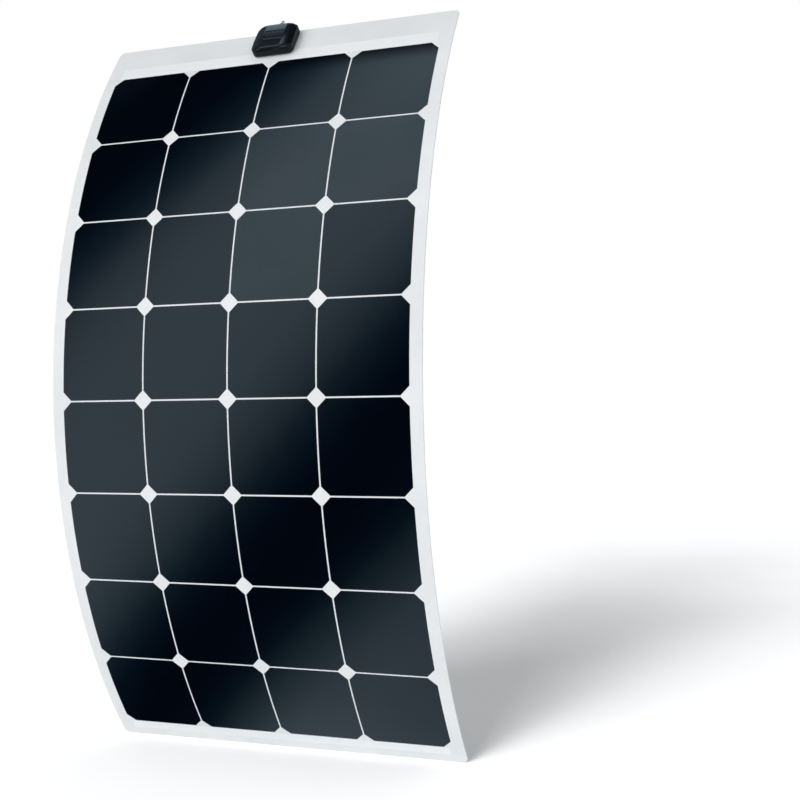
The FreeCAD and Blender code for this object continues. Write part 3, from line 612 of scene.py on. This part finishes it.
def dress(ob, mat):
    ob.data.materials.clear()
    ob.data.materials.append(mat)


# ---------------------------------------------------------------- the sheet's layers
laminate = sheet_layer("laminate_body", -1.05 * MM, 1.20 * MM, 0.35 * MM, 0.0)
dress(laminate, MAT["laminate"])
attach(laminate, "sheet")
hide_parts("front_film", "front_encapsulant", "rear_encapsulant", "glass_fibre_core", "top_ribbon_mask", "bottom_ribbon_mask")

back = sheet_layer("rear_skin", -1.25 * MM, -1.05 * MM, 0.0, 0.08 * MM)
dress(back, MAT["back"])
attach(back, "sheet")
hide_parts("back_film")

PITCH = 127.0
# four single cells get one of the lighter tones, a painted reflection in their base colour
painted_reflection_of = {(2, 3): "cell_painted_reflection_grey", (2, 4): "cell_painted_reflection_grey", (3, 3): "cell_painted_reflection_greenish", (1, 4): "cell_painted_reflection_faint"}
for r in range(1, 9):
    for c in range(1, 5):
        cx = PITCH * (c - 1 - 1.5) * MM
        cs = (426.5 - PITCH * (r - 1)) * MM
        ob = cell_mesh("cell_tile_r%d_c%d" % (r, c), cx, cs, 62.5 * MM, 11.9 * MM, 1.08 * MM, 1.245 * MM, 0.035 * MM)
        dress(ob, MAT[painted_reflection_of.get((r, c), "cell_deep")])
        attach(ob, "sheet")
        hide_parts("cell_r%d_c%d" % (r, c))

# ---------------------------------------------------------------- the junction box lid
# The box lies on the top band. In its own frame x runs across, y up the sheet and z out of it.
BOX_O = Vector((0.0, 0.0682126, 1.0116112))
BOX_T = Vector((0.0, 0.58799, 0.808868))
BOX_N = Vector((0.0, -0.808868, 0.58799))


def box_point(x, y, z):
    return BOX_O + (Vector((1, 0, 0)) * x + BOX_T * y + BOX_N * z) * MM


LID_X, LID_Y, LID_R = 31.5, 27.0, 10.0
LID_RIM = 9.8


def lid_top(x, y):
    """Height of the lid's face before its edge is rounded: a flat crowned face between two sloping flanks."""
    q = min(1.0, max(0.0, (abs(x) - 16.0) / 15.5))
    fall = 0.80 * (0.45 * q + 0.55 * q * q)
    v = min(1.0, abs(y) / 27.0)
    return LID_RIM + 6.2 * (1.0 - fall) * (1.0 - 0.21 * v ** 2.2)


def lid_surface(x, y, d):
    """d is how far the point is in from the lid's outline."""
    zt = lid_top(x, y)
    r = min(3.4, 0.80 * (zt - LID_RIM))
    if d < r:
        zt = zt - r + math.sqrt(max(0.0, r * r - (r - d) ** 2))
    return zt


def build_lid():
    arc = 12
    cx, cy = LID_X - LID_R, LID_Y - LID_R

    def lines(half, marks, step):
        keys = [-half] + sorted(marks) + [half]
        out = []
        for a, b in zip(keys[:-1], keys[1:]):
            out += spread(a, b, step)[:-1]
        return out + [half]

    xs = lines(cx, [-16.0, -14.7, -14.35, 14.35, 14.7, 16.0], 1.25)
    ys = lines(cy, [-9.75, -9.4, -9.0, -8.6, -8.25, 9.25, 9.6, 10.0, 10.4, 10.75], 1.2)

    def outline(d):
        r = LID_R - d
        pts = [(cx + r, y) for y in ys[1:-1]]
        pts += [(cx + r * math.cos(0.5 * math.pi * i / arc), cy + r * math.sin(0.5 * math.pi * i / arc)) for i in range(arc + 1)]
        pts += [(x, cy + r) for x in reversed(xs[1:-1])]
        pts += [(-cx + r * math.cos(0.5 * math.pi * (1 + i / arc)), cy + r * math.sin(0.5 * math.pi * (1 + i / arc))) for i in range(arc + 1)]
        pts += [(-cx - r, y) for y in reversed(ys[1:-1])]
        pts += [(-cx + r * math.cos(0.5 * math.pi * (2 + i / arc)), -cy + r * math.sin(0.5 * math.pi * (2 + i / arc))) for i in range(arc + 1)]
        pts += [(x, -cy - r) for x in xs[1:-1]]
        pts += [(cx + r * math.cos(0.5 * math.pi * (3 + i / arc)), -cy + r * math.sin(0.5 * math.pi * (3 + i / arc))) for i in range(arc + 1)]
        return pts

    def barrel(x, y):
        return x * (1.0 - 0.035 * (y / LID_Y) ** 2), y * (1.0 - 0.018 * (x / LID_X) ** 2)

    verts, faces = [], []

    def add(x, y, z):
        bx, by = barrel(x, y)
        verts.append(box_point(bx, by, z))
        return len(verts) - 1

    def ring(d, z=None, drop=0.0):
        return [add(x, y, (lid_surface(x, y, d) if z is None else z) - drop) for x, y in outline(d)]

    def join(a, b):
        n = len(a)
        for i in range(n):
            j = (i + 1) % n
            faces.append([a[i], b[i], b[j], a[j]])

    def grid_cap(ring_ids, drop, panel, flip):
        g = {}
        for i, x in enumerate(xs):
            for j, y in enumerate(ys):
                z = lid_top(x, y) - drop
                if panel and abs(x) < 14.5:
                    # a shallow panel between two low beads
                    if -8.9 < y < 9.9:
                        z -= 0.40
                    for mark in (-9.0, 10.0):
                        if abs(y - mark) < 0.76:
                            z += 0.50 * math.cos(0.5 * math.pi * (y - mark) / 0.76) ** 2 * (0.5 if abs(y - mark) > 0.1 else 1.0)
                g[i, j] = add(x, y, z)
        nx, ny = len(xs), len(ys)
        made = []
        for i in range(nx - 1):
            for j in range(ny - 1):
                made.append([g[i, j], g[i + 1, j], g[i + 1, j + 1], g[i, j + 1]])
        border = [g[nx - 1, j] for j in range(1, ny - 1)] + [g[nx - 1, ny - 1]] * (arc + 1)
        border += [g[i, ny - 1] for i in range(nx - 2, 0, -1)] + [g[0, ny - 1]] * (arc + 1)
        border += [g[0, j] for j in range(ny - 2, 0, -1)] + [g[0, 0]] * (arc + 1)
        border += [g[i, 0] for i in range(1, nx - 1)] + [g[nx - 1, 0]] * (arc + 1)
        n = len(ring_ids)
        for i in range(n):
            j = (i + 1) % n
            if border[i] == border[j]:
                made.append([border[i], ring_ids[i], ring_ids[j]])
            else:
                made.append([border[i], ring_ids[i], ring_ids[j], border[j]])
        for f in made:
            faces.append(f[::-1] if flip else f)

    insets = [8.8, 7.6, 6.5, 5.5, 4.7, 4.0, 3.4, 2.9, 2.45, 2.0, 1.6, 1.25, 0.95, 0.7, 0.48, 0.3, 0.16, 0.06, 0.0]
    outer = [ring(d) for d in insets]
    grid_cap(outer[0], 0.0, True, False)
    for a, b in zip(outer[:-1], outer[1:]):
        join(a, b)
    foot = ring(0.0, LID_RIM + 0.25)
    foot2 = ring(0.22, LID_RIM)
    lip = ring(2.1, LID_RIM)
    join(outer[-1], foot)
    join(foot, foot2)
    join(foot2, lip)
    wall = 1.9
    inner = []
    for d in (2.1, 2.6, 3.4, 4.6, 6.4, 8.8):
        pts = outline(d)
        inner.append([add(x, y, max(LID_RIM + 0.1, lid_surface(x, y, d - 1.2) - wall)) for x, y in pts])
    join(lip, inner[0])
    for a, b in zip(inner[:-1], inner[1:]):
        join(a, b)
    grid_cap(inner[-1], wall, False, True)
    me = bpy.data.meshes.new("lid_shell")
    me.from_pydata([tuple(v) for v in verts], [], faces)
    me.update()
    me.polygons.foreach_set("use_smooth", [True] * len(me.polygons))
    me.set_sharp_from_angle(angle=math.radians(38))
    me.validate(verbose=False)
    ob = bpy.data.objects.new("lid_shell", me)
    scene.collection.objects.link(ob)
    return ob


def build_lugs():
    """Four snap hooks under the lid, each a tab with a barb and a tapered nose, as one piece of four closed solids."""
    profile = [(27.50, 11.3), (27.42, 8.4), (27.55, 7.0), (27.95, 6.42), (28.45, 6.40), (28.98, 7.15), (29.05, 7.55), (28.92, 7.85), (28.72, 8.0), (28.78, 11.3)]
    cuts = [(9.0, 0.18), (9.25, 0.0), (12.0, 0.0), (14.75, 0.0), (15.0, 0.18)]
    cx = sum(p[0] for p in profile) / len(profile)
    cz = sum(p[1] for p in profile) / len(profile)
    verts, faces = [], []
    for sx in (1, -1):
        for sy in (1, -1):
            rows = []
            for y, inset in cuts:
                row = []
                for x, z in profile:
                    k = 1.0 - inset / 1.2
                    row.append(len(verts))
                    verts.append(tuple(box_point(sx * (cx + (x - cx) * k), sy * y, cz + (z - cz) * (1.0 - inset * 0.12) if z < 11.2 else z)))
                rows.append(row)
            n = len(profile)
            made = [rows[0][::-1], rows[-1][:]]
            for a, b in zip(rows[:-1], rows[1:]):
                for i in range(n):
                    j = (i + 1) % n
                    made.append([a[i], a[j], b[j], b[i]])
            turn = sx * sy > 0
            faces.extend(f[::-1] if turn else f for f in made)
    me = bpy.data.meshes.new("lid_hooks")
    me.from_pydata(verts, [], faces)
    me.update()
    me.polygons.foreach_set("use_smooth", [True] * len(me.polygons))
    me.set_sharp_from_angle(angle=math.radians(30))
    ob = bpy.data.objects.new("lid_hooks", me)
    scene.collection.objects.link(ob)
    return ob


hooks = build_lugs()
dress(hooks, MAT["lid_black"])
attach(hooks, "lid")

lid = build_lid()
dress(lid, MAT["lid_black"])
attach(lid, "lid")
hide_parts("jbox_lid")

# ---------------------------------------------------------------- the CAD nodes that stay
slot_by_node = {}
for m in frame["record"].get("materials", []):
    for n in m.get("nodes", []) or []:
        slot_by_node[n] = m.get("slot")
by_hand = {
    "jbox_pad": "adhesive_pad", "jbox_base": "box_black", "lid_seal": "seal_rubber", "jbox_lid": "lid_black",
    "rail_positive": "rail_metal", "rail_centre": "rail_metal", "rail_negative": "rail_metal", "ribbon_clips": "clip_steel",
    "bypass_diode_left": "diode_black", "bypass_diode_right": "diode_black", "outlet_collar": "collar_rubber", "outlet_stub": "stub_grey",
}
for name, ob in nodes.items():
    if ob.hide_render:
        continue
    key = by_hand.get(name, "tinned_copper")
    dress(ob, MAT[key])
    ob.data.polygons.foreach_set("use_smooth", [True] * len(ob.data.polygons))
    ob.data.set_sharp_from_angle(angle=math.radians(32))

# ---------------------------------------------------------------- camera
CAM = dict(f=1206.7, C=(749.4, -1498.2, 471.0), look=(-0.34025, 0.94022, 0.01501), up=(0.01462, -0.01067, 0.99984))
look = Vector(CAM["look"]).normalized()
up = Vector(CAM["up"])
right = look.cross(up).normalized()
up = right.cross(look).normalized()
cam_data = bpy.data.cameras.new("camera")
cam_data.sensor_width = 36.0
cam_data.sensor_fit = "HORIZONTAL"
cam_data.lens = CAM["f"] * 36.0 / 800.0
cam_data.clip_start = 0.02
cam_data.clip_end = 100.0
cam = bpy.data.objects.new("camera", cam_data)
scene.collection.objects.link(cam)
m = Matrix((right, up, -look)).transposed().to_4x4()
m.translation = Vector(CAM["C"]) * MM
cam.matrix_world = m
scene.camera = cam

# ---------------------------------------------------------------- floor
me = bpy.data.meshes.new("floor")
S = 14.0
me.from_pydata([(-S, -S, 0.0), (S, -S, 0.0), (S, S, 0.0), (-S, S, 0.0)], [], [(0, 1, 2, 3)])
floor = bpy.data.objects.new("floor", me)
scene.collection.objects.link(floor)
fm, nt, b = new_mat("floor_paper")
vec = coords(nt, "Object")
nt.links.new(ramp(nt, noise(nt, vec, 3.0, 2.0), [(0.3, (0.700, 0.702, 0.708)), (0.7, (0.715, 0.717, 0.722))]), b.inputs["Base Color"])
b.inputs["Roughness"].default_value = 0.9
b.inputs["Specular IOR Level"].default_value = 0.0
floor.data.materials.append(fm)
floor.visible_glossy = False

# ---------------------------------------------------------------- studio surround and lights
world = bpy.data.worlds.new("studio")
scene.world = world
world.use_nodes = True
nt = world.node_tree
nt.nodes.clear()
out = N(nt, "ShaderNodeOutputWorld")
path = N(nt, "ShaderNodeLightPath")
direction = coords(nt, "Generated")


def vdot(a, const):
    n = N(nt, "ShaderNodeVectorMath", operation="DOT_PRODUCT")
    nt.links.new(a, n.inputs[0])
    n.inputs[1].default_value = const
    return n.outputs["Value"]


sq = N(nt, "ShaderNodeVectorMath", operation="MULTIPLY")
nt.links.new(direction, sq.inputs[0])
nt.links.new(direction, sq.inputs[1])
sp = N(nt, "ShaderNodeSeparateXYZ")
nt.links.new(direction, sp.inputs[0])
yzx = N(nt, "ShaderNodeCombineXYZ")
nt.links.new(sp.outputs["Y"], yzx.inputs["X"])
nt.links.new(sp.outputs["Z"], yzx.inputs["Y"])
nt.links.new(sp.outputs["X"], yzx.inputs["Z"])
cr = N(nt, "ShaderNodeVectorMath", operation="MULTIPLY")
nt.links.new(direction, cr.inputs[0])
nt.links.new(yzx.outputs[0], cr.inputs[1])
# a coordinate that runs across the surround, in bands: dark, a broad soft panel, dark, a second panel
K = 11.007
LIN = (7.145, 0.284, -3.777)
SQ = (-12.137, -0.110, 0.0)
CR = (3.164, -1.956, 1.563)
t = math2(nt, "ADD", vdot(direction, LIN), K)
t = math2(nt, "ADD", t, vdot(sq.outputs[0], SQ))
t = math2(nt, "ADD", t, vdot(cr.outputs[0], CR))
t = math2(nt, "DIVIDE", math2(nt, "ADD", t, 3.0), 15.0)
stops = [(-3.0, (0.10, 0.13, 0.15)), (-1.0, (0.05, 0.07, 0.09)), (0.0, (0.03, 0.06, 0.08)), (1.0, (0.003, 0.006, 0.008)), (2.0, (0.004, 0.014, 0.030)), (2.4, (0.03, 0.09, 0.13)),
         (2.75, (0.115, 0.217, 0.298)), (3.0, (0.267, 0.413, 0.535)), (3.25, (0.457, 0.654, 0.793)), (3.6, (0.61, 0.81, 0.98)),
         (4.0, (0.725, 0.959, 1.129)), (4.4, (0.770, 1.020, 1.215)), (5.5, (0.775, 1.020, 1.220)), (6.0, (0.71, 0.94, 1.129)),
         (6.4, (0.52, 0.73, 0.88)), (6.75, (0.304, 0.477, 0.589)), (7.1, (0.09, 0.18, 0.25)), (7.5, (0.008, 0.036, 0.060)),
         (8.1, (0.001, 0.003, 0.006)), (8.75, (0.009, 0.023, 0.048)), (9.0, (0.024, 0.080, 0.116)), (9.5, (0.236, 0.388, 0.483)),
         (10.0, (0.534, 0.715, 0.861)), (10.5, (0.604, 0.795, 0.956)), (11.5, (0.525, 0.692, 0.827))]
panel = ramp(nt, t, [((p + 3.0) / 15.0, c) for p, c in stops])
# behind and above it is dark, but for one smaller panel that only a face tilted well back can mirror
unlit = math2(nt, "MULTIPLY", remap(nt, sp.outputs["Y"], -0.155, -0.085, 0.0, 1.0), remap(nt, sp.outputs["Z"], 0.86, 0.90, 0.0, 1.0))
panel = mix_col(nt, unlit, panel, (0.004, 0.006, 0.010))
overhead = math2(nt, "MULTIPLY", remap(nt, sp.outputs["Y"], 0.02, 0.17, 0.0, 1.0), remap(nt, sp.outputs["Z"], 0.70, 0.80, 0.0, 1.0))
overhead = math2(nt, "MULTIPLY", overhead, remap(nt, sp.outputs["X"], -0.54, -0.46, 0.0, 1.0))
overhead = math2(nt, "MULTIPLY", overhead, remap(nt, sp.outputs["X"], -0.32, -0.24, 1.0, 0.0))
panel = mix_col(nt, overhead, panel, (0.95, 1.25, 1.50))

bg_cam = N(nt, "ShaderNodeBackground")
bg_cam.inputs["Color"].default_value = (1, 1, 1, 1)
bg_cam.inputs["Strength"].default_value = 1.0
bg_gloss = N(nt, "ShaderNodeBackground")
nt.links.new(panel, bg_gloss.inputs["Color"])
bg_gloss.inputs["Strength"].default_value = 1.0
bg_soft = N(nt, "ShaderNodeBackground")
bg_soft.inputs["Color"].default_value = (0.97, 0.985, 1.0, 1)
bg_soft.inputs["Strength"].default_value = 0.61
mix1 = N(nt, "ShaderNodeMixShader")
nt.links.new(path.outputs["Is Glossy Ray"], mix1.inputs[0])
nt.links.new(bg_soft.outputs[0], mix1.inputs[1])
nt.links.new(bg_gloss.outputs[0], mix1.inputs[2])
mix2 = N(nt, "ShaderNodeMixShader")
nt.links.new(path.outputs["Is Camera Ray"], mix2.inputs[0])
nt.links.new(mix1.outputs[0], mix2.inputs[1])
nt.links.new(bg_cam.outputs[0], mix2.inputs[2])
nt.links.new(mix2.outputs[0], out.inputs["Surface"])


def sun(name, elevation, azimuth, strength, angle, colour, receivers=None):
    """A soft distant light. azimuth is measured from the front (-Y) towards the left (-X)."""
    ld = bpy.data.lights.new(name, "SUN")
    ld.energy = strength
    ld.angle = math.radians(angle)
    ld.color = colour
    lo = bpy.data.objects.new(name, ld)
    scene.collection.objects.link(lo)
    e, a = math.radians(elevation), math.radians(azimuth)
    d = Vector((-math.cos(e) * math.sin(a), -math.cos(e) * math.cos(a), math.sin(e)))
    lo.rotation_euler = d.to_track_quat("Z", "Y").to_euler()
    lo.visible_glossy = False
    if receivers is not None:
        col = bpy.data.collections.new(name + "_lit")
        for o in receivers:
            col.objects.link(o)
        lo.light_linking.receiver_collection = col
    return lo


PI = math.pi
sun("front_soft", 27.0, 40.0, 0.40 * PI, 50.0, (1.0, 1.0, 1.0), [o for o in bpy.data.objects if o.type == "MESH" and not o.hide_render and o != floor])
sun("floor_light_high", 24.0, 15.0, 1.28 * PI, 26.0, (1.0, 1.0, 1.0), [floor])
sun("floor_light_low", 13.0, 4.0, 1.90 * PI, 22.0, (1.0, 1.0, 1.0), [floor])

scene.view_settings.view_transform = "Standard"
scene.view_settings.look = "None"
scene.view_settings.exposure = 0.0
scene.view_settings.gamma = 1.0
